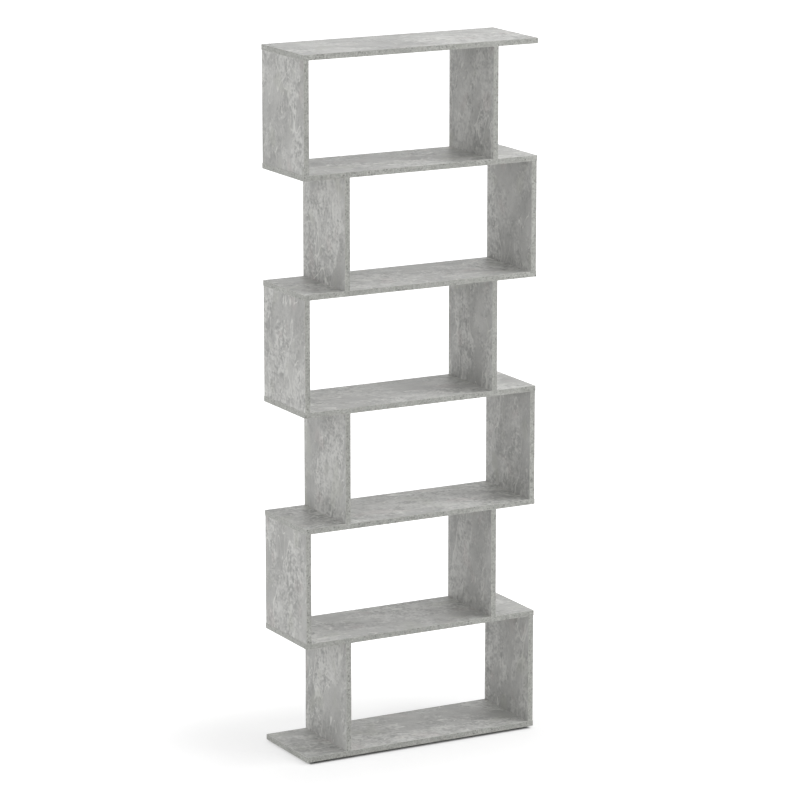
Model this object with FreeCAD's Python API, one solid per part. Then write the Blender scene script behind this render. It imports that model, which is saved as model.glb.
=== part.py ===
# Zigzag bookshelf: seven level boards of one length, held apart by twelve short uprights.
# In every other tier the pair of uprights steps sideways, which gives the zigzag outline.
# The panels are faced chipboard with glued edging, joined by cam locks and dowels.
# Millimetres. +Z is up, the front faces -Y, and the origin is on the floor under the middle.

import FreeCAD
import Part
import math
import os

Vector = FreeCAD.Vector

# Carcass
board_length = 700.0
board_depth = 240.0
panel_thickness = 15.0  # boards and uprights are cut from one sheet
upright_height = 300.0
tier_count = 6
end_setback = 1.0  # outer uprights, in from the board ends
inset_setback = 120.0  # inset uprights, in from the board ends

# Glued edging strips
edging_thickness = 1.0
edging_land = 0.4  # thickness left square beside the rounded arris

# Bores
running_clearance = 0.1  # radial play of a fastener in its bore
end_clearance = 0.5  # spare depth past the tip of a fastener

# Places of the fasteners at each end of an upright
bolt_margin = 40.0  # front or back edge to a cam bolt
dowel_spacing = 32.0  # cam bolt to dowel

# Cam lock, a zinc disc let into the right-hand face of an upright
cam_reach = 24.0  # board face to cam centre
cam_diameter = 14.8
cam_floor = 3.0  # upright left standing behind the cam
cam_throw = 1.0  # offset of the pocket, which draws the bolt in
cam_slot_sweep = 150.0  # degrees of turn from the open mouth to locked
cam_recess_length = 6.4
cam_recess_width = 1.6
cam_recess_depth = 2.6

# Cam bolt, screwed into a board face
bolt_thread_diameter = 5.0
bolt_cover = 4.0  # board left standing past the thread tip
bolt_shank_diameter = 7.0
bolt_neck_diameter = 4.2
bolt_head_diameter = 6.8
bolt_head_band = 1.8  # straight head past its cone
bolt_chamfer = 0.6
bolt_play = 0.4  # play of the shank in its bore, and of neck and head in the cam
pocket_play = 1.6  # radial room for the head as the cam turns

# Cover cap, pressed over a cam
cap_lip = 1.0  # cap edge past the cam bore
cap_rim = 0.6
cap_crown = 0.4

# Beech dowel
dowel_diameter = 8.0
dowel_length = 30.0
dowel_cover = 5.0  # board left standing past the dowel
dowel_chamfer = 1.0

# Floor glides, nailed under the base board
glide_diameter = 20.0
glide_taper = 1.5  # sole radius less than the rim
glide_height = 5.0
glide_band = 2.0  # straight rim above the taper
glide_end_margin = 32.0  # glide centre to a board end
glide_side_margin = 20.0  # glide centre to the front or back edge
nail_head_diameter = 5.6
nail_head_height = 1.2
nail_head_sink = 0.8  # sole to head
nail_shank_diameter = 2.2
nail_cover = 3.2  # board left standing past the nail tip
nail_point = 2.0

# What follows from the sizes above
tier_pitch = panel_thickness + upright_height
half_length = board_length / 2
half_depth = board_depth / 2
half_panel = panel_thickness / 2
core_half_length = half_length - edging_thickness
core_half_depth = half_depth - edging_thickness
bolt_offset = half_depth - bolt_margin
dowel_offset = bolt_offset - dowel_spacing
cam_depth = panel_thickness - cam_floor
cam_bore_diameter = cam_diameter + 2 * running_clearance
pocket_radius = bolt_head_diameter / 2 + pocket_play
thread_length = panel_thickness - bolt_cover
dowel_in_board = panel_thickness - dowel_cover
dowel_in_upright = dowel_length - dowel_in_board
dowel_bore_diameter = dowel_diameter + 2 * running_clearance
nail_tip = glide_height + panel_thickness - nail_cover

origin = Vector(0, 0, 0)
along_x = Vector(1, 0, 0)
along_y = Vector(0, 1, 0)
along_z = Vector(0, 0, 1)


def pair(offset):
    return (-offset, offset)


def box(x, y, z):
    """Box between two limits along each axis."""
    return Part.makeBox(x[1] - x[0], y[1] - y[0], z[1] - z[0], Vector(x[0], y[0], z[0]))


def cylinder(diameter, length, start, direction):
    return Part.makeCylinder(diameter / 2, length, start, direction)


def turned(profile, start=origin, axis=along_z, outward=along_x):
    """Solid of (radius, height) points turned about an axis that begins at a point."""
    points = [start + outward * radius + axis * height for radius, height in profile]
    face = Part.Face(Part.makePolygon(points + points[:1]))
    return face.revolve(start, axis, 360)


def group(shape, places):
    """Copies of a shape at (point, way) places, turned over about X where the way is down."""
    copies = []
    for point, way in places:
        copy = shape.copy()
        copy.Placement = FreeCAD.Placement(point, FreeCAD.Rotation(along_x, 0 if way.z > 0 else 180))
        copies.append(copy)
    return Part.makeCompound(copies)


# Places


def board_bottom(level):
    return glide_height + level * tier_pitch


def board_top(level):
    return board_bottom(level) + panel_thickness


def upright_middles(tier):
    """Middles of the two uprights in a tier, which swap setbacks from tier to tier."""
    setbacks = (inset_setback, end_setback) if tier % 2 == 0 else (end_setback, inset_setback)
    left = half_panel + setbacks[0] - half_length
    right = half_length - setbacks[1] - half_panel
    return {"left": left, "right": right}


def joints(tier, middles, offset):
    """Points where uprights meet the boards, each with the way from there into the upright."""
    ends = ((board_top(tier), along_z), (board_bottom(tier + 1), -along_z))
    return [(Vector(x, y, z), way) for x in middles for y in pair(offset) for z, way in ends]


def all_joints(offset):
    places = []
    for tier in range(tier_count):
        places += joints(tier, upright_middles(tier).values(), offset)
    return places


def glide_places():
    xs = pair(half_length - glide_end_margin)
    ys = pair(half_depth - glide_side_margin)
    return [(Vector(x, y, 0), along_z) for x in xs for y in ys]


# Boards


def board_bores(level):
    """Blind bores for bolts and dowels, from the uprights above and below a board."""
    bolt_bore = bolt_thread_diameter + 2 * running_clearance
    bores = []
    for tier in (level - 1, level):
        if tier not in range(tier_count):
            continue
        middles = upright_middles(tier).values()
        for point, way in joints(tier, middles, bolt_offset):
            bores.append(cylinder(bolt_bore, thread_length + end_clearance, point, -way))
        for point, way in joints(tier, middles, dowel_offset):
            bores.append(cylinder(dowel_bore_diameter, dowel_in_board + end_clearance, point, -way))
    return bores


def nail_bores():
    diameter = nail_shank_diameter + 2 * running_clearance
    return [cylinder(diameter, nail_tip + end_clearance, point, way) for point, way in glide_places()]


def board_core(level):
    z = (board_bottom(level), board_top(level))
    core = box(pair(core_half_length), pair(core_half_depth), z)
    bores = board_bores(level)
    if level == 0:
        bores += nail_bores()
    return core.cut(bores)


def rounded_strip(strip, outward):
    """Edging strip with the two long edges of its outer face rounded."""
    face = max(strip.Faces, key=lambda side: side.CenterOfMass.dot(outward))
    longest = max(edge.Length for edge in face.Edges)
    arrises = [edge for edge in face.Edges if math.isclose(edge.Length, longest)]
    return strip.makeFillet(edging_thickness - edging_land, arrises)


def board_edging(level):
    """Front and back strips of the whole length, with the end strips between them."""
    z = (board_bottom(level), board_top(level))
    strips = []
    for side in (-1, 1):
        y = sorted((side * core_half_depth, side * half_depth))
        strips.append(rounded_strip(box(pair(half_length), y, z), along_y * side))
        x = sorted((side * core_half_length, side * half_length))
        strips.append(rounded_strip(box(x, pair(core_half_depth), z), along_x * side))
    return Part.makeCompound(strips)


# Uprights


def upright_bores(tier, middle):
    """Bolt, cam and dowel bores at both ends of an upright."""
    bolt_bore = bolt_shank_diameter + 2 * bolt_play
    to_face = along_x * half_panel
    bores = []
    for point, way in joints(tier, [middle], bolt_offset):
        bores.append(cylinder(bolt_bore, cam_reach, point, way))
        bores.append(cylinder(cam_bore_diameter, cam_depth, point + way * cam_reach + to_face, -along_x))
    for point, way in joints(tier, [middle], dowel_offset):
        bores.append(cylinder(dowel_bore_diameter, dowel_in_upright + end_clearance, point, way))
    return bores


def upright_core(tier, middle):
    x = (middle - half_panel, middle + half_panel)
    z = (board_top(tier), board_bottom(tier + 1))
    return box(x, pair(core_half_depth), z).cut(upright_bores(tier, middle))


def upright_edging(tier, middle):
    """Front and back strips only, since the ends are hidden against the boards."""
    x = (middle - half_panel, middle + half_panel)
    z = (board_top(tier), board_bottom(tier + 1))
    strips = []
    for side in (-1, 1):
        y = sorted((side * core_half_depth, side * half_depth))
        strips.append(rounded_strip(box(x, y, z), along_y * side))
    return Part.makeCompound(strips)


# Cam joint, drawn with the board face at z = 0, the upright above it and the cam facing +X


def pocket_wall(radius):
    """Height of the cam's gripping wall, at a distance beside the bolt axis."""
    return cam_reach + cam_throw - math.sqrt(pocket_radius**2 - radius**2)


def cam_lock():
    """Disc with a pocket for the bolt head, a mouth to let it in, a slot for its neck
    and a cross recess. The pocket is off centre, so its wall draws the head in."""
    centre = along_z * cam_reach
    disc = cylinder(cam_diameter, cam_depth, centre + along_x * half_panel, -along_x)
    half_head = bolt_head_diameter / 2 + bolt_play
    half_neck = bolt_neck_diameter / 2 + bolt_play
    pocket_start = Vector(-half_head, 0, cam_reach + cam_throw)
    pocket = cylinder(2 * pocket_radius, 2 * half_head, pocket_start, along_x)
    neck = box(pair(half_neck), pair(half_neck), (0, cam_reach))
    slot_start = Part.makePlane(2 * half_neck, cam_diameter, centre - along_x * half_neck, along_y, along_x)
    slot = slot_start.revolve(centre, along_x, cam_slot_sweep)
    mouth_way = FreeCAD.Rotation(along_x, cam_slot_sweep).multVec(-along_z)
    mouth = cylinder(2 * half_head, cam_diameter, centre, mouth_way)
    recess_x = (half_panel - cam_recess_depth, half_panel)
    for long_side, short_side in ((cam_recess_length, cam_recess_width), (cam_recess_width, cam_recess_length)):
        z = (cam_reach - short_side / 2, cam_reach + short_side / 2)
        disc = disc.cut(box(recess_x, pair(long_side / 2), z))
    return disc.cut([pocket, neck, slot, mouth])


def cam_bolt():
    """Bolt with its thread in the board, and its neck and cone-backed head in the cam."""
    thread = bolt_thread_diameter / 2
    shank = bolt_shank_diameter / 2
    neck = bolt_neck_diameter / 2
    head = bolt_head_diameter / 2
    shank_end = cam_reach - cam_diameter / 2 - bolt_play
    cone_start = pocket_wall(neck) + running_clearance
    cone_end = pocket_wall(head) + running_clearance
    head_end = cone_end + bolt_head_band
    return turned(
        [
            (0, -thread_length),
            (thread - bolt_chamfer, -thread_length),
            (thread, bolt_chamfer - thread_length),
            (thread, 0),
            (shank, 0),
            (shank, shank_end),
            (neck, shank_end),
            (neck, cone_start),
            (head, cone_end),
            (head, head_end - bolt_chamfer),
            (head - bolt_chamfer, head_end),
            (0, head_end),
        ]
    )


def cam_cap():
    """Low cap that hides the cam, with a peg that holds in the cross recess."""
    rim = cam_bore_diameter / 2 + cap_lip
    peg = cam_recess_width / 2 - running_clearance
    peg_length = cam_recess_depth - end_clearance
    profile = [
        (0, -peg_length),
        (peg, -peg_length),
        (peg, 0),
        (rim, 0),
        (rim, cap_rim),
        (rim - cap_crown, cap_rim + cap_crown),
        (0, cap_rim + cap_crown),
    ]
    return turned(profile, Vector(half_panel, 0, cam_reach), along_x, along_y)


def dowel():
    radius = dowel_diameter / 2
    tip = radius - dowel_chamfer
    return turned(
        [
            (0, -dowel_in_board),
            (tip, -dowel_in_board),
            (radius, dowel_chamfer - dowel_in_board),
            (radius, dowel_in_upright - dowel_chamfer),
            (tip, dowel_in_upright),
            (0, dowel_in_upright),
        ]
    )


# Floor glides, drawn with the floor at z = 0


def glide():
    """Plastic foot with a straight rim, a tapered sole and a sunk seat for its nail."""
    rim = glide_diameter / 2
    seat = nail_head_diameter / 2 + running_clearance
    hole = nail_shank_diameter / 2 + running_clearance
    seat_top = nail_head_sink + nail_head_height
    return turned(
        [
            (hole, glide_height),
            (hole, seat_top),
            (seat, seat_top),
            (seat, 0),
            (rim - glide_taper, 0),
            (rim, glide_height - glide_band),
            (rim, glide_height),
        ]
    )


def glide_nail():
    head = nail_head_diameter / 2
    shank = nail_shank_diameter / 2
    head_top = nail_head_sink + nail_head_height
    return turned(
        [
            (0, nail_head_sink),
            (head, nail_head_sink),
            (head, head_top),
            (shank, head_top),
            (shank, nail_tip - nail_point),
            (0, nail_tip),
        ]
    )


# Whole bookshelf


def board_name(level):
    if level == 0:
        return "base_board"
    if level == tier_count:
        return "top_board"
    return f"shelf_board_{level}"


def all_nodes():
    nodes = {}
    for level in range(tier_count + 1):
        name = board_name(level)
        nodes[name] = board_core(level)
        nodes[f"{name}_edging"] = board_edging(level)
    for tier in range(tier_count):
        for side, middle in upright_middles(tier).items():
            name = f"{side}_upright_{tier + 1}"
            nodes[name] = upright_core(tier, middle)
            nodes[f"{name}_edging"] = upright_edging(tier, middle)
    nodes["cam_bolts"] = group(cam_bolt(), all_joints(bolt_offset))
    nodes["cam_locks"] = group(cam_lock(), all_joints(bolt_offset))
    nodes["cam_caps"] = group(cam_cap(), all_joints(bolt_offset))
    nodes["dowels"] = group(dowel(), all_joints(dowel_offset))
    nodes["floor_glides"] = group(glide(), glide_places())
    nodes["glide_nails"] = group(glide_nail(), glide_places())
    return nodes


def main():
    os.makedirs("parts", exist_ok=True)
    for name, shape in all_nodes().items():
        shape.exportStep(f"parts/{name}.step")


main()
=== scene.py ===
# Looks of the zigzag bookshelf: concrete-decor panels, edging strips, cover caps and floor glides.
import math
import bpy
import numpy as np
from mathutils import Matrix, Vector


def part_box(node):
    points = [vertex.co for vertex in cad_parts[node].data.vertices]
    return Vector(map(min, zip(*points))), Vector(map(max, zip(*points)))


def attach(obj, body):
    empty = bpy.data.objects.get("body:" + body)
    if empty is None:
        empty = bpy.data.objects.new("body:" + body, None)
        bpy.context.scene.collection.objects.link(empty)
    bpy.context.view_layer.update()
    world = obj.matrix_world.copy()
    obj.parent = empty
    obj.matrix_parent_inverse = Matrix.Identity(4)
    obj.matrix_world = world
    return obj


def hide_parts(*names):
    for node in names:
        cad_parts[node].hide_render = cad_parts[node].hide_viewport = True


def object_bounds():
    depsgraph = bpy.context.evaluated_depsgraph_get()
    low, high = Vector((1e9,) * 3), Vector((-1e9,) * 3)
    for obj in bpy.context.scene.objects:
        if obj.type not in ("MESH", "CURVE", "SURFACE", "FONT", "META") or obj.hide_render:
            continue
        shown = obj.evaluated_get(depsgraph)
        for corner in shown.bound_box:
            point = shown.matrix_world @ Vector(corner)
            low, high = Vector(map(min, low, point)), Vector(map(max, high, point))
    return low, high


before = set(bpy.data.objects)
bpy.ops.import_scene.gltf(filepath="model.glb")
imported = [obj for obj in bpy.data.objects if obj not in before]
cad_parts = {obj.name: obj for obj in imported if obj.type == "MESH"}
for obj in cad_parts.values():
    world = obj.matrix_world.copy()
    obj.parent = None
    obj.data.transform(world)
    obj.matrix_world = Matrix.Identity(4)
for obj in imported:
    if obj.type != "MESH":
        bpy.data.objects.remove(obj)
cadLow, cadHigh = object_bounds()
print("frame loaded with", len(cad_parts), "nodes")

scene = bpy.context.scene
mm = 0.001
xAxis, yAxis, zAxis = np.eye(3)
crispAngle = 32  # degrees; steeper edges of a smooth piece stay crisp
noiseMiddle = 0.5  # level about which every noise field swings


# Mesh helpers

def ringLengths(ring):
    # running length round a closed ring; its last entry is the whole way round
    steps = np.linalg.norm(np.roll(ring, -1, 0) - ring, axis=1)
    return np.concatenate([[0], np.cumsum(steps)])


def gridShape(points, along, around, wrapped):
    # points[j, i] is a grid of closed rings: i runs round a ring, j from ring to ring, a quad in each cell.
    # The last ring joins the first if wrapped; otherwise both end rings are filled.
    # along[j] and around[i] are the lengths in metres that go to the texture map.
    rings, count = points.shape[:2]
    j, i = np.meshgrid(np.arange(rings if wrapped else rings - 1), np.arange(count), indexing="ij")
    cornerJ = np.stack([j, j, j + 1, j + 1], -1)
    cornerI = np.stack([i, i + 1, i + 1, i], -1)
    faces = ((cornerJ % rings) * count + cornerI % count).reshape(-1, 4).tolist()
    maps = [np.stack([along[cornerJ], around[cornerI]], -1).reshape(-1, 2)]
    if not wrapped:
        ring = np.arange(count)
        faces += [ring[::-1].tolist(), (ring + (rings - 1) * count).tolist()]
        depth = np.linalg.norm(points[[0, -1]] - points[[0, -1], :1], axis=-1)
        maps.append(np.stack([along[0] - depth[0], around[:-1]], -1)[::-1])
        maps.append(np.stack([along[rings - 1] + depth[1], around[:-1]], -1))
    return points.reshape(-1, 3), faces, np.concatenate(maps)


def carriedBar(low, high, axis, outward, arris, ease, steps):
    # A rectangle with four rounded corners, carried straight along one axis from low to high.
    # Each corner is an arc: centre + radius * (cos, sin) over a quarter turn, counter-clockwise.
    # Corners on the outward side take the arris radius, the others the small ease.
    across = [(axis + 1) % 3, (axis + 2) % 3]
    signs = np.array([[1, 1], [-1, 1], [-1, -1], [1, -1]])
    radii = np.where(signs @ np.array(outward)[across] > 0, arris, ease)[:, None]
    centres = np.where(signs > 0, np.array(high)[across], np.array(low)[across]) - signs * radii
    turns = np.arange(4)[:, None] * math.pi / 2 + np.linspace(0, math.pi / 2, steps + 1)
    arcs = np.stack([np.cos(turns), np.sin(turns)], -1)
    profile = (centres[:, None] + arcs * radii[:, None]).reshape(-1, 2)
    ends = np.array([low[axis], high[axis]])
    points = np.zeros((2, len(profile), 3))
    points[:, :, across] = profile
    points[:, :, axis] = ends[:, None]
    return gridShape(points, ends - ends[0], ringLengths(profile), False)


def turnedShape(profile, centre, axis, side, count, wrapped):
    # (radius, height) points turned about an axis: centre + height * axis + radius * (cos, sin)
    profile = np.array(profile)
    turn = np.arange(count) * 2 * math.pi / count
    circle = np.cos(turn)[:, None] * side + np.sin(turn)[:, None] * np.cross(axis, side)
    points = centre + profile[:, 1, None, None] * np.array(axis) + profile[:, 0, None, None] * circle
    around = np.arange(count + 1) * 2 * math.pi / count * profile[:, 0].max()
    return gridShape(points, ringLengths(profile), around, wrapped)


def pieceFrom(name, shapes, replaced, material, smooth=False):
    # joins shapes into one mesh with a texture map called sheet, and hangs it on the frame
    starts = np.cumsum([0] + [len(points) for points, faces, sheet in shapes])
    faces = [[k + start for k in face] for start, shape in zip(starts, shapes) for face in shape[1]]
    mesh = bpy.data.meshes.new(name)
    mesh.from_pydata(np.concatenate([shape[0] for shape in shapes]).tolist(), [], faces)
    layer = mesh.uv_layers.new(name="sheet")
    layer.uv.foreach_set("vector", np.concatenate([shape[2] for shape in shapes]).ravel())
    if smooth:
        mesh.shade_smooth()
        mesh.set_sharp_from_angle(angle=math.radians(crispAngle))
    mesh.materials.append(material)
    piece = bpy.data.objects.new(name, mesh)
    scene.collection.objects.link(piece)
    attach(piece, "root")
    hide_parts(replaced)
    return piece


# Material helpers

def linear(hexColour):
    # sRGB hex to linear RGBA
    parts = np.array([int(hexColour[k:k + 2], 16) for k in (1, 3, 5)]) / 255
    parts = np.where(parts <= 0.04045, parts / 12.92, ((parts + 0.055) / 1.055) ** 2.4)
    return (*parts.tolist(), 1.0)


def addNode(tree, kind, inputs, **settings):
    # a node with its settings; each input is a plain value or the socket that feeds it
    node = tree.nodes.new(kind)
    for name, value in settings.items():
        setattr(node, name, value)
    for name, value in inputs.items():
        if isinstance(value, bpy.types.NodeSocket):
            tree.links.new(value, node.inputs[name])
        else:
            node.inputs[name].default_value = value
    return node


def newMaterial(name):
    material = bpy.data.materials.new(name)
    material.use_nodes = True
    return material, material.node_tree, material.node_tree.nodes["Principled BSDF"]


def seenRays(tree):
    # 1 for rays that show the background: from the camera, or by way of a gloss or a clear piece
    path = addNode(tree, "ShaderNodeLightPath", {})
    seen = path.outputs["Is Camera Ray"]
    for name in ("Is Glossy Ray", "Is Transmission Ray"):
        either = addNode(tree, "ShaderNodeMath", {0: seen, 1: path.outputs[name]}, operation="MAXIMUM")
        seen = either.outputs[0]
    return seen


# Concrete decor. Fields are noise, each with its real size in mm along and across the sheet, its turn in
# degrees and its detail. Spots have a cell size along and across and a radius as a share of the cell.
# Grain, specks and pits are drawn about three times coarser than real, so that they show.

panelDecor = {
    # printed paper under matt melamine: trowelled calm bays beside rough ones, hardly any gloss
    "name": "melamineFacedConcreteDecor",
    "dark": "#9B9B99",
    "light": "#D1D1CE",
    "pale": "#DDDDD9",
    "shade": "#868683",
    "pink": "#C3B1AF",
    "green": "#B3B5AB",
    "cloud": (190, 100, 18, 3),
    "bay": (430, 130, 10, 2),
    "mottle": (34, 28, 15, 2),
    "rough": (110, 80, 0, 3),
    "fleck": (12, 10, 15, 3),
    "grain": (3.4, 4.6, 0, 1),
    "vein": (260, 70, 10, 2),
    "patch": (150, 110, 0, 2),
    "stain": (120, 80, 0, 1),
    "speck": (10, 13, 0.44),
    "pit": (12, 15, 0.40),
    "cloudShare": 0.48,
    "bayShare": 0.06,
    "mottleShare": 0.85,
    "fleckShare": 1.05,
    "grainShare": 0.10,
    "lineShare": 0.90,
    "veinShare": 0.78,
    "speckShare": 0.70,
    "pitShare": 0.45,
    "pinkShare": 0.12,
    "greenShare": 0.30,
    "calm": 0.16,
    "roughness": (0.45, 0.60),
    "bumpMm": 0.05,
}

edgingDecor = {
    # printed plastic strip: darker, fine speckle, and a pale line painted along each rounded arris as a
    # painted highlight
    "name": "extrudedConcreteEdging",
    "dark": "#878883",
    "light": "#C5C6C1",
    "pale": "#CBCCC7",
    "shade": "#63645F",
    "pink": "#A89C99",
    "green": "#9FA297",
    "cloud": (70, 30, 0, 3),
    "bay": (160, 40, 0, 2),
    "mottle": (16, 12, 15, 2),
    "rough": (45, 25, 0, 3),
    "fleck": (6, 5, 0, 4),
    "grain": (3.2, 2.8, 0, 2),
    "vein": (60, 14, 3, 2),
    "patch": (60, 30, 0, 2),
    "stain": (48, 34, 0, 2),
    "speck": (6, 5, 0.34),
    "pit": (8, 7, 0.46),
    "cloudShare": 0.22,
    "bayShare": 0.03,
    "mottleShare": 0.25,
    "fleckShare": 0.70,
    "grainShare": 0.25,
    "lineShare": 0.0,
    "veinShare": 0.10,
    "speckShare": 0.35,
    "pitShare": 0.70,
    "pinkShare": 0.05,
    "greenShare": 0.20,
    "calm": 0.6,
    "roughness": (0.38, 0.52),
    "bumpMm": 0.03,
}

# how both sheets are drawn
decorSheet = {
    "bendMm": 110,  # size of the slow noise that bends the sheet
    "bendReachMm": 30,  # full swing of that noise; most of it stays within 12 mm either way
    "bendDetail": 4,
    "bendRoughness": 0.56,
    "fieldRoughness": 0.6,
    "fieldStep": (3.7, 2.3),  # metres on the sheet from one field's place to the next, so that none repeat
    "spotStep": (1.9, 1.3),
    "spotFade": 3,  # a spot is full within its radius over this
    "spotChance": (0.52, 0.80),  # cells below the first have no spot, above the second a full one
    "toneSpan": (0.3, 0.7),  # ground tones that get the dark and the light colour
    "fleckSpan": (0.3, 0.7),  # fleck levels that get the least and the most roughness
    # how far the rounded arrises are painted towards pale, a painted highlight
    "arrisHighlightShare": 0.8,
    "bumpStrength": 0.5,
}

# masks cut from the fields, each rising smoothly from its first level to its second
decorMasks = {
    "bay": ("bay", 0.475, 0.525),
    "lineRise": ("bay", 0.490, 0.497),
    "lineFall": ("bay", 0.508, 0.498),
    "rough": ("rough", 0.44, 0.56),
    "veinRise": ("vein", 0.491, 0.499),
    "veinFall": ("vein", 0.514, 0.501),
    "patch": ("patch", 0.49, 0.54),
    "pink": ("stain", 0.66, 0.74),
    "green": ("stain", 0.36, 0.26),
}

# what lies over the ground: its share, its colour and the masks that hold it
decorLayers = (
    ("lineShare", "pale", "lineRise", "lineFall", "patch"),
    ("veinShare", "pale", "veinRise", "veinFall", "patch"),
    ("speckShare", "pale", "speck", "uneven"),
    ("pitShare", "shade", "pit", "uneven"),
    ("pinkShare", "pink", "pink"),
    ("greenShare", "green", "green"),
)


def concreteDecor(look):
    material, tree, shader = newMaterial(look["name"])
    sheet = addNode(tree, "ShaderNodeUVMap", {}, uv_map="sheet").outputs["UV"]

    # slow noise bends the sheet, so that no line runs straight
    bendSize = decorSheet["bendMm"] * mm
    bendReach = decorSheet["bendReachMm"] * mm
    bendAt = addNode(tree, "ShaderNodeMapping", {"Vector": sheet, "Scale": (bendSize, bendSize, 1)},
                     vector_type="TEXTURE")
    bend = addNode(tree, "ShaderNodeTexNoise",
                   {"Vector": bendAt.outputs[0], "Scale": 1, "Detail": decorSheet["bendDetail"],
                    "Roughness": decorSheet["bendRoughness"]})
    swing = addNode(tree, "ShaderNodeVectorMath", {0: bend.outputs["Color"], 1: (noiseMiddle,) * 3},
                    operation="SUBTRACT")
    bent = addNode(tree, "ShaderNodeVectorMath",
                   {0: swing.outputs[0], 1: (bendReach, bendReach, 0), 2: sheet},
                   operation="MULTIPLY_ADD").outputs[0]

    fields = {}
    for name in ("cloud", "bay", "mottle", "rough", "fleck", "grain", "vein", "patch", "stain"):
        sizeAlong, sizeAcross, turn, detail = look[name]
        stepAlong, stepAcross = decorSheet["fieldStep"]
        at = addNode(tree, "ShaderNodeMapping",
                     {"Vector": bent, "Location": (stepAlong * len(fields), stepAcross * len(fields), 0),
                      "Rotation": (0, 0, math.radians(turn)),
                      "Scale": (sizeAlong * mm, sizeAcross * mm, 1)}, vector_type="TEXTURE")
        noise = addNode(tree, "ShaderNodeTexNoise",
                        {"Vector": at.outputs[0], "Scale": 1, "Detail": detail,
                         "Roughness": decorSheet["fieldRoughness"]}, noise_dimensions="2D")
        fields[name] = noise.outputs[0]

    masks = {}
    for name, (source, low, high) in decorMasks.items():
        mask = addNode(tree, "ShaderNodeMapRange",
                       {"Value": fields[source], "From Min": low, "From Max": high},
                       interpolation_type="SMOOTHSTEP")
        masks[name] = mask.outputs[0]

    # specks and pits: a spot at the heart of each cell, in about half of the cells
    for name in ("speck", "pit"):
        sizeAlong, sizeAcross, radius = look[name]
        stepAlong, stepAcross = decorSheet["spotStep"]
        chanceLow, chanceHigh = decorSheet["spotChance"]
        at = addNode(tree, "ShaderNodeMapping",
                     {"Vector": bent, "Location": (stepAlong * len(masks), stepAcross * len(masks), 0),
                      "Scale": (sizeAlong * mm, sizeAcross * mm, 1)}, vector_type="TEXTURE")
        cells = addNode(tree, "ShaderNodeTexVoronoi", {"Vector": at.outputs[0], "Scale": 1},
                        voronoi_dimensions="2D")
        spot = addNode(tree, "ShaderNodeMapRange",
                       {"Value": cells.outputs["Distance"], "From Min": radius,
                        "From Max": radius / decorSheet["spotFade"]}, interpolation_type="SMOOTHSTEP")
        chance = addNode(tree, "ShaderNodeMapRange",
                         {"Value": cells.outputs["Color"], "From Min": chanceLow, "From Max": chanceHigh})
        masks[name] = addNode(tree, "ShaderNodeMath", {0: spot.outputs[0], 1: chance.outputs[0]},
                              operation="MULTIPLY").outputs[0]

    # uneven is 1 in a rough area of a rough bay, less where only one of them is, and calm elsewhere
    both = addNode(tree, "ShaderNodeMath", {0: masks["bay"], 1: masks["rough"]}, operation="ADD")
    masks["uneven"] = addNode(tree, "ShaderNodeMapRange",
                              {"Value": both.outputs[0], "From Max": 2, "To Min": look["calm"]}).outputs[0]

    # the ground: clouds, bays with soft sides, and mottle and flecks that are strong only where it is uneven
    held = {}
    for name in ("mottle", "fleck"):
        swing = addNode(tree, "ShaderNodeMath", {0: fields[name], 1: noiseMiddle}, operation="SUBTRACT")
        held[name] = addNode(tree, "ShaderNodeMath", {0: swing.outputs[0], 1: masks["uneven"]},
                             operation="MULTIPLY").outputs[0]
    # starts so low that the shares bring it to the middle on average
    tone = noiseMiddle - (look["cloudShare"] + look["bayShare"] + look["grainShare"]) / 2
    for value, share in ((fields["cloud"], "cloudShare"), (masks["bay"], "bayShare"),
                         (held["mottle"], "mottleShare"), (held["fleck"], "fleckShare"),
                         (fields["grain"], "grainShare")):
        tone = addNode(tree, "ShaderNodeMath", {0: value, 1: look[share], 2: tone},
                       operation="MULTIPLY_ADD").outputs[0]
    ramp = addNode(tree, "ShaderNodeValToRGB", {"Fac": tone})
    for stop, position, name in zip(ramp.color_ramp.elements, decorSheet["toneSpan"], ("dark", "light")):
        stop.position = position
        stop.color = linear(look[name])
    colour = ramp.outputs["Color"]

    for share, tint, *holders in decorLayers:
        factor = look[share]
        for holder in holders:
            factor = addNode(tree, "ShaderNodeMath", {0: masks[holder], 1: factor},
                             operation="MULTIPLY").outputs[0]
        colour = addNode(tree, "ShaderNodeMix", {0: factor, 6: colour, 7: linear(look[tint])},
                         data_type="RGBA").outputs[2]

    # the rounded arrises of a strip are painted towards pale, a painted highlight; panels carry no such mark
    arrisHighlight = addNode(tree, "ShaderNodeAttribute", {}, attribute_name="arrisHighlight")
    arrisHighlightShare = addNode(tree, "ShaderNodeMath", {0: arrisHighlight.outputs["Fac"], 1: decorSheet["arrisHighlightShare"]},
                          operation="MULTIPLY")
    colour = addNode(tree, "ShaderNodeMix", {0: arrisHighlightShare.outputs[0], 6: colour, 7: linear(look["pale"])},
                     data_type="RGBA").outputs[2]
    tree.links.new(colour, shader.inputs["Base Color"])

    fleckLow, fleckHigh = decorSheet["fleckSpan"]
    roughLow, roughHigh = look["roughness"]
    rough = addNode(tree, "ShaderNodeMapRange",
                    {"Value": fields["fleck"], "From Min": fleckLow, "From Max": fleckHigh,
                     "To Min": roughLow, "To Max": roughHigh})
    tree.links.new(rough.outputs[0], shader.inputs["Roughness"])
    height = addNode(tree, "ShaderNodeMath", {0: held["fleck"], 1: fields["grain"]}, operation="ADD")
    bump = addNode(tree, "ShaderNodeBump",
                   {"Height": height.outputs[0], "Distance": look["bumpMm"] * mm,
                    "Strength": decorSheet["bumpStrength"]})
    tree.links.new(bump.outputs[0], shader.inputs["Normal"])
    return material


panelMaterial = concreteDecor(panelDecor)
edgingMaterial = concreteDecor(edgingDecor)
print("concrete decor made")


# Plastics, wood and fastener metals: noise in object space changes colour, gloss and height a little.

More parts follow.
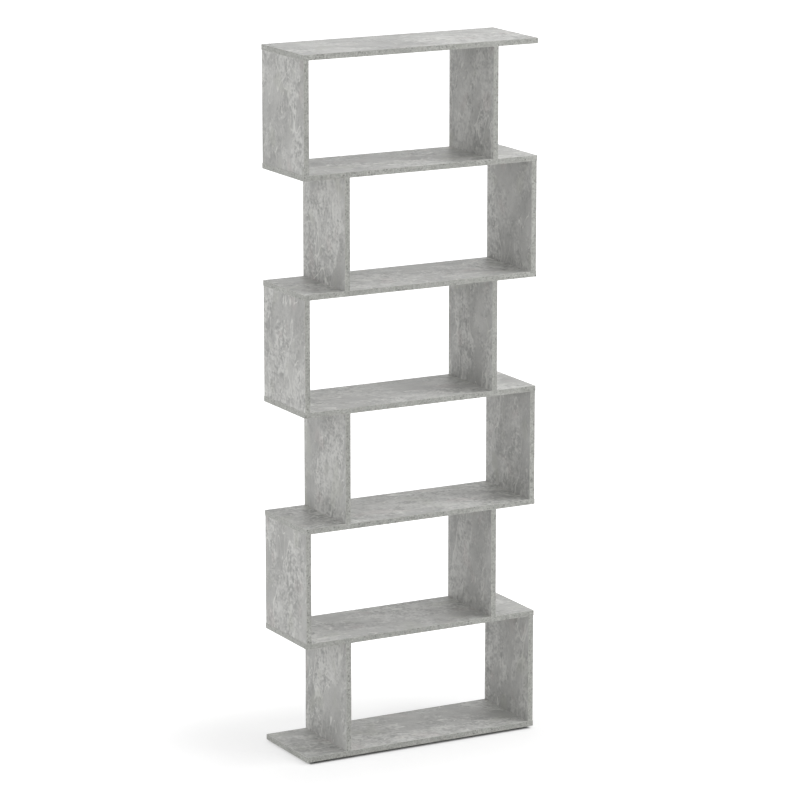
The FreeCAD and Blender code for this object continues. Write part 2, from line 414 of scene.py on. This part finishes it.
smallParts = {
    "cap_plastic": {
        "name": "mouldedGreyCapPlastic",  # smooth pale grey, faint moulding haze
        "colours": ("#9C9C98", "#A8A8A3"),
        "metallic": 0.0,
        "roughness": (0.34, 0.46),
        "sizeMm": (5, 5, 5),
        "bumpMm": 0.01,
    },
    "glide_plastic": {
        "name": "mouldedBlackGlidePlastic",  # dark, with a dull sheen on its rim
        "colours": ("#161617", "#212122"),
        "metallic": 0.0,
        "roughness": (0.40, 0.58),
        "sizeMm": (3, 3, 3),
        "bumpMm": 0.02,
    },
    "cam_zinc": {
        "name": "dieCastZinc",  # dull blue-grey casting skin with a fine orange peel
        "colours": ("#85888B", "#9DA0A2"),
        "metallic": 1.0,
        "roughness": (0.38, 0.55),
        "sizeMm": (1.2, 1.2, 1.2),
        "bumpMm": 0.02,
    },
    "bolt_steel": {
        "name": "zincPlatedTurnedSteel",  # bright, turning marks across the axis
        "colours": ("#B4B8BC", "#CBCED1"),
        "metallic": 1.0,
        "roughness": (0.22, 0.36),
        "sizeMm": (4, 4, 0.4),
        "bumpMm": 0.005,
    },
    "dowel_beech": {
        "name": "turnedBeech",  # warm pale wood, grain along the dowel
        "colours": ("#BE9468", "#DDBA8E"),
        "metallic": 0.0,
        "roughness": (0.55, 0.72),
        "sizeMm": (0.9, 0.9, 14),
        "bumpMm": 0.04,
    },
    "nail_steel": {
        "name": "drawnBrightSteel",  # bright wire, drawn lengthwise
        "colours": ("#A2A5A8", "#BBBEC0"),
        "metallic": 1.0,
        "roughness": (0.24, 0.40),
        "sizeMm": (0.6, 0.6, 6),
        "bumpMm": 0.005,
    },
}


# noise levels that get the first and the second of a small part's colours and roughnesses
smallPartNoise = {
    "detail": 3,
    "colourSpan": (0.35, 0.65),
    "roughSpan": (0.3, 0.7),
    "bumpStrength": 0.5,
}


def smallPartMaterial(look):
    material, tree, shader = newMaterial(look["name"])
    place = addNode(tree, "ShaderNodeTexCoord", {}).outputs["Object"]
    at = addNode(tree, "ShaderNodeMapping",
                 {"Vector": place, "Scale": tuple(size * mm for size in look["sizeMm"])},
                 vector_type="TEXTURE")
    noise = addNode(tree, "ShaderNodeTexNoise",
                    {"Vector": at.outputs[0], "Scale": 1, "Detail": smallPartNoise["detail"]}).outputs[0]
    ramp = addNode(tree, "ShaderNodeValToRGB", {"Fac": noise})
    stops = ramp.color_ramp.elements
    for stop, position, colour in zip(stops, smallPartNoise["colourSpan"], look["colours"]):
        stop.position = position
        stop.color = linear(colour)
    noiseLow, noiseHigh = smallPartNoise["roughSpan"]
    roughLow, roughHigh = look["roughness"]
    rough = addNode(tree, "ShaderNodeMapRange",
                    {"Value": noise, "From Min": noiseLow, "From Max": noiseHigh,
                     "To Min": roughLow, "To Max": roughHigh})
    bump = addNode(tree, "ShaderNodeBump",
                   {"Height": noise, "Distance": look["bumpMm"] * mm,
                    "Strength": smallPartNoise["bumpStrength"]})
    shader.inputs["Metallic"].default_value = look["metallic"]
    tree.links.new(ramp.outputs["Color"], shader.inputs["Base Color"])
    tree.links.new(rough.outputs[0], shader.inputs["Roughness"])
    tree.links.new(bump.outputs[0], shader.inputs["Normal"])
    return material


smallMaterials = {slotName: smallPartMaterial(look) for slotName, look in smallParts.items()}
print("small part materials made")


# Panels and their edging strips

panelBuild = {
    "ease": 0.12 * mm,  # a fine glue line between face and strip
    "arris": 0.6 * mm,  # radius milled on the strip's outer corners
    "arcSteps": 6,
    "markSlack": 0.01 * mm,  # keeps the ends of an arc out of the painted arris highlight
    "sheetStep": (1.37, 0.83),  # metres on the sheet from one panel's place to the next
    "stripStep": 0.29,  # and from one strip of a panel to the next
}

panelNames = sorted(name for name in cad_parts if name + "_edging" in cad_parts)
for number, name in enumerate(panelNames):
    low, high = (np.array(corner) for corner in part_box(name))
    outerLow, outerHigh = (np.array(corner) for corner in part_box(name + "_edging"))
    grain = 2 if "upright" in name else 0
    sheetPlace = number * np.array(panelBuild["sheetStep"])
    ease = panelBuild["ease"]
    points, faces, sheet = carriedBar(low, high, grain, (0, 0, 0), ease, ease, 1)
    pieceFrom(name + "_face", [(points, faces, sheet + sheetPlace)], name, panelMaterial)

    # front and back strips run the whole length, the end strips of a board between them
    strips = []
    marks = []
    for axis, side in ((1, -1), (1, 1), (0, -1), (0, 1)):
        if axis == 0 and grain == 2:
            continue
        stripLow = outerLow.copy()
        stripHigh = outerHigh.copy()
        stripLow[axis] = outerLow[axis] if side < 0 else high[axis]
        stripHigh[axis] = low[axis] if side < 0 else outerHigh[axis]
        if axis == 0:
            stripLow[1] = low[1]
            stripHigh[1] = high[1]
        outward = np.zeros(3)
        outward[axis] = side
        run = grain if axis == 1 else 1
        points, faces, sheet = carriedBar(stripLow, stripHigh, run, outward, panelBuild["arris"], ease,
                                          panelBuild["arcSteps"])
        strips.append((points, faces, sheet + sheetPlace + panelBuild["stripStep"] * len(strips)))

        # the painted arris highlight is 1 on the inner points of the outward arcs, that is within an arris
        # of two outer faces
        middle = (stripLow + stripHigh) / 2
        fromFace = np.abs(points[:, axis] - (outerLow if side < 0 else outerHigh)[axis])
        thick = 3 - axis - run
        fromSide = (stripHigh - stripLow)[thick] / 2 - np.abs(points[:, thick] - middle[thick])
        limit = panelBuild["arris"] - panelBuild["markSlack"]
        marks.append((fromFace < limit) & (fromSide < limit))
    band = pieceFrom(name + "_band", strips, name + "_edging", edgingMaterial)
    # a painted highlight along each rounded arris, kept on the strip's points
    arrisHighlight = band.data.attributes.new("arrisHighlight", "FLOAT", "POINT")
    arrisHighlight.data.foreach_set("value", np.concatenate(marks).astype(np.float32))
print("panels and strips made:", len(panelNames))


# Cover caps over the cams, moulded discs with a rounded rim and a low crown

capBuild = {
    "rim": 8.5 * mm,
    "height": 1.0 * mm,
    "rimRadius": 0.45 * mm,
    "crown": 0.12 * mm,
    "fromEnd": 24 * mm,  # cam centre to the upright's end
    "fromMiddle": 80 * mm,  # cam centre to the middle of the depth
    "crownEnd": 0.4 * mm,  # radius of the small flat that closes the crown
    "rimPoints": 5,
    "crownPoints": 7,
    "count": 40,
}

rim = capBuild["rim"]
flat = rim - capBuild["rimRadius"]
rimTop = capBuild["height"] - capBuild["crown"]
bend = np.linspace(0, math.pi / 2, capBuild["rimPoints"])
rimArc = np.stack([flat + capBuild["rimRadius"] * np.cos(bend),
                   rimTop + capBuild["rimRadius"] * (np.sin(bend) - 1)], -1)
reach = np.linspace(flat, capBuild["crownEnd"], capBuild["crownPoints"])[1:]
# the crown falls off with the square of the radius
crown = np.stack([reach, rimTop + capBuild["crown"] * (1 - (reach / flat) ** 2)], -1)
capProfile = np.concatenate([[[rim, 0]], rimArc, crown])
caps = []
for name in panelNames:
    if "upright" not in name:
        continue
    low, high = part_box(name)
    for y in (-capBuild["fromMiddle"], capBuild["fromMiddle"]):
        for z in (low.z + capBuild["fromEnd"], high.z - capBuild["fromEnd"]):
            centre = np.array((high.x, y, z))
            caps.append(turnedShape(capProfile, centre, xAxis, yAxis, capBuild["count"], False))
pieceFrom("cover_caps", caps, "cam_caps", smallMaterials["cap_plastic"], True)
print("cover caps made:", len(caps))


# Floor glides: a straight rim, a tapered sole with a rounded edge and a sunk seat for the nail

glideBuild = {
    "rim": 10 * mm,
    "sole": 8.5 * mm,
    "band": 2 * mm,
    "height": 5 * mm,
    "soleRadius": 0.8 * mm,
    "soleTurn": 1.1,  # radians from flat sole to tapered side
    "seat": 2.9 * mm,
    "seatTop": 2.0 * mm,
    "hole": 1.2 * mm,
    "solePoints": 6,
    "count": 64,
}

low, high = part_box("floor_glides")
bend = np.linspace(0, glideBuild["soleTurn"], glideBuild["solePoints"])
soleArc = np.stack([glideBuild["sole"] - glideBuild["soleRadius"] * (1 - np.sin(bend)),
                    glideBuild["soleRadius"] * (1 - np.cos(bend))], -1)
nailSeat = [[glideBuild["hole"], glideBuild["height"]], [glideBuild["hole"], glideBuild["seatTop"]],
            [glideBuild["seat"], glideBuild["seatTop"]], [glideBuild["seat"], 0]]
straightRim = [[glideBuild["rim"], glideBuild["height"] - glideBuild["band"]],
               [glideBuild["rim"], glideBuild["height"]]]
glideProfile = np.concatenate([nailSeat, soleArc, straightRim])
glides = []
for x in (low.x + glideBuild["rim"], high.x - glideBuild["rim"]):
    for y in (low.y + glideBuild["rim"], high.y - glideBuild["rim"]):
        centre = np.array((x, y, low.z))
        glides.append(turnedShape(glideProfile, centre, zAxis, xAxis, glideBuild["count"], True))
pieceFrom("moulded_glides", glides, "floor_glides", smallMaterials["glide_plastic"], True)
print("floor glides made:", len(glides))


# Fasteners inside the joints keep their worked-out shape and get their own metals and wood

for nodeName, slotName in (("cam_locks", "cam_zinc"), ("cam_bolts", "bolt_steel"),
                           ("dowels", "dowel_beech"), ("glide_nails", "nail_steel")):
    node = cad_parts[nodeName]
    node.data.materials.clear()
    node.data.materials.append(smallMaterials[slotName])
print("fastener materials set")


# Floor: white paint, matt, so it has no gloss; a glow lifts it to white around the base, is left out under
# it and thinned next to it, so shade is painted there over the real shadow

floorBuild = {
    "half": 40.0,
    "colour": "#F4F4F4",
    "seen": "#BCBCBC",  # what a seen ray meets before the lift; darker than the paint, so the floor's shadows look deeper than they are: painted shade
    "roughness": 0.9,
    "liftReach": 0.9,
    "endInset": 0.014,  # how far the glow reaches in under the board's ends, painting light there
    # metres from the base and how much the floor is lifted to white there; none under the base. Only seen,
    # so it lights nothing. Kept low close to the base, the glow paints a contact shade round it; rising
    # farther out, it paints the floor's shadow away.
    "lift": ((0.0, 0.0), (0.005, 0.38), (0.010, 0.53), (0.02, 0.57), (0.15, 0.60), (0.26, 0.66),
             (0.5, 0.85), (0.9, 1.0)),
}

half = floorBuild["half"]
floorCorners = [(-half, -half, 0), (half, -half, 0), (half, half, 0), (-half, half, 0)]
floorMesh = bpy.data.meshes.new("floor")
floorMesh.from_pydata(floorCorners, [], [(0, 1, 2, 3)])
floor = bpy.data.objects.new("floor", floorMesh)
scene.collection.objects.link(floor)
floorMaterial, tree, shader = newMaterial("whitePaintedFloor")
shader.inputs["Roughness"].default_value = floorBuild["roughness"]
shader.inputs["Specular IOR Level"].default_value = 0.0
shader.inputs["Emission Color"].default_value = (1, 1, 1, 1)
seen = seenRays(tree)
paint = addNode(tree, "ShaderNodeMix",
                {0: seen, 6: linear(floorBuild["colour"]), 7: linear(floorBuild["seen"])}, data_type="RGBA")
tree.links.new(paint.outputs[2], shader.inputs["Base Color"])
place = addNode(tree, "ShaderNodeTexCoord", {})
# distance outside the dark area under the base, where the glow is left out and shade is painted: the length
# of |place| - half its size, where above zero
paintedShadeHalf = (cadHigh.x - floorBuild["endInset"], cadHigh.y, 0)
mirrored = addNode(tree, "ShaderNodeVectorMath", {0: place.outputs["Object"]}, operation="ABSOLUTE")
beyond = addNode(tree, "ShaderNodeVectorMath", {0: mirrored.outputs[0], 1: paintedShadeHalf}, operation="SUBTRACT")
outside = addNode(tree, "ShaderNodeVectorMath", {0: beyond.outputs[0], 1: (0, 0, 0)}, operation="MAXIMUM")
away = addNode(tree, "ShaderNodeVectorMath", {0: outside.outputs[0]}, operation="LENGTH")
share = addNode(tree, "ShaderNodeMath", {0: away.outputs["Value"], 1: floorBuild["liftReach"]},
                operation="DIVIDE")
lift = addNode(tree, "ShaderNodeValToRGB", {"Fac": share.outputs[0]})
stops = lift.color_ramp.elements
while len(stops) < len(floorBuild["lift"]):
    stops.new(1.0)
for stop, (reach, level) in zip(stops, floorBuild["lift"]):
    stop.position = reach / floorBuild["liftReach"]
    stop.color = (level, level, level, 1)
# the glow, weak near the base and none under it, paints shade there and light farther out
glow = addNode(tree, "ShaderNodeMath", {0: seen, 1: lift.outputs["Color"]}, operation="MULTIPLY")
tree.links.new(glow.outputs[0], shader.inputs["Emission Strength"])
floorMesh.materials.append(floorMaterial)
print("floor made")


# World and lamps: even white room light, keys from the right front, softer light from the left and behind

worldLight = {
    "ambient": 0.60,
    "background": 1.0,
}

lampAim = (0, 0, 0.95)  # about half the height
lamps = {
    "highKeyRight": {"place": (2.64, -0.96, 4.07), "size": 0.9, "power": 38},
    "lowKeyRight": {"place": (2.45, -2.0, 2.0), "size": 1.0, "power": 24},
    "fillLeft": {"place": (-3.96, 0, 1.51), "size": 2.4, "power": 20},
    "fillBack": {"place": (1.73, 3.0, 2.95), "size": 2.4, "power": 9},
}

world = bpy.data.worlds.new("whiteRoom")
world.use_nodes = True
scene.world = world
tree = world.node_tree
strength = addNode(tree, "ShaderNodeMapRange",
                   {"Value": seenRays(tree), "To Min": worldLight["ambient"],
                    "To Max": worldLight["background"]})
sky = tree.nodes["Background"]
sky.inputs["Color"].default_value = (1, 1, 1, 1)
tree.links.new(strength.outputs[0], sky.inputs["Strength"])

for name, lamp in lamps.items():
    data = bpy.data.lights.new(name, "AREA")
    data.size = lamp["size"]
    data.energy = lamp["power"]
    light = bpy.data.objects.new(name, data)
    light.location = lamp["place"]
    towards = Vector(lampAim) - Vector(lamp["place"])
    light.rotation_euler = towards.to_track_quat("-Z", "Y").to_euler()
    scene.collection.objects.link(light)
print("world and lamps made")


# Camera, fitted to the corners of the boards in the photo

cameraFit = {
    "place": (-5.0765, -9.3265, 3.3605),
    "yaw": 28.553,  # degrees to the right of straight back
    "pitch": 12.846,  # degrees down
    "lens": 182.28,
    "sensor": 36.0,
    "clipEnd": 200,
}

cameraData = bpy.data.cameras.new("mainCamera")
cameraData.lens = cameraFit["lens"]
cameraData.sensor_width = cameraFit["sensor"]
cameraData.clip_end = cameraFit["clipEnd"]
camera = bpy.data.objects.new("mainCamera", cameraData)
camera.location = cameraFit["place"]
camera.rotation_euler = (math.radians(90 - cameraFit["pitch"]), 0, math.radians(-cameraFit["yaw"]))
scene.collection.objects.link(camera)
scene.camera = camera
scene.view_settings.view_transform = "Standard"
print("camera set")
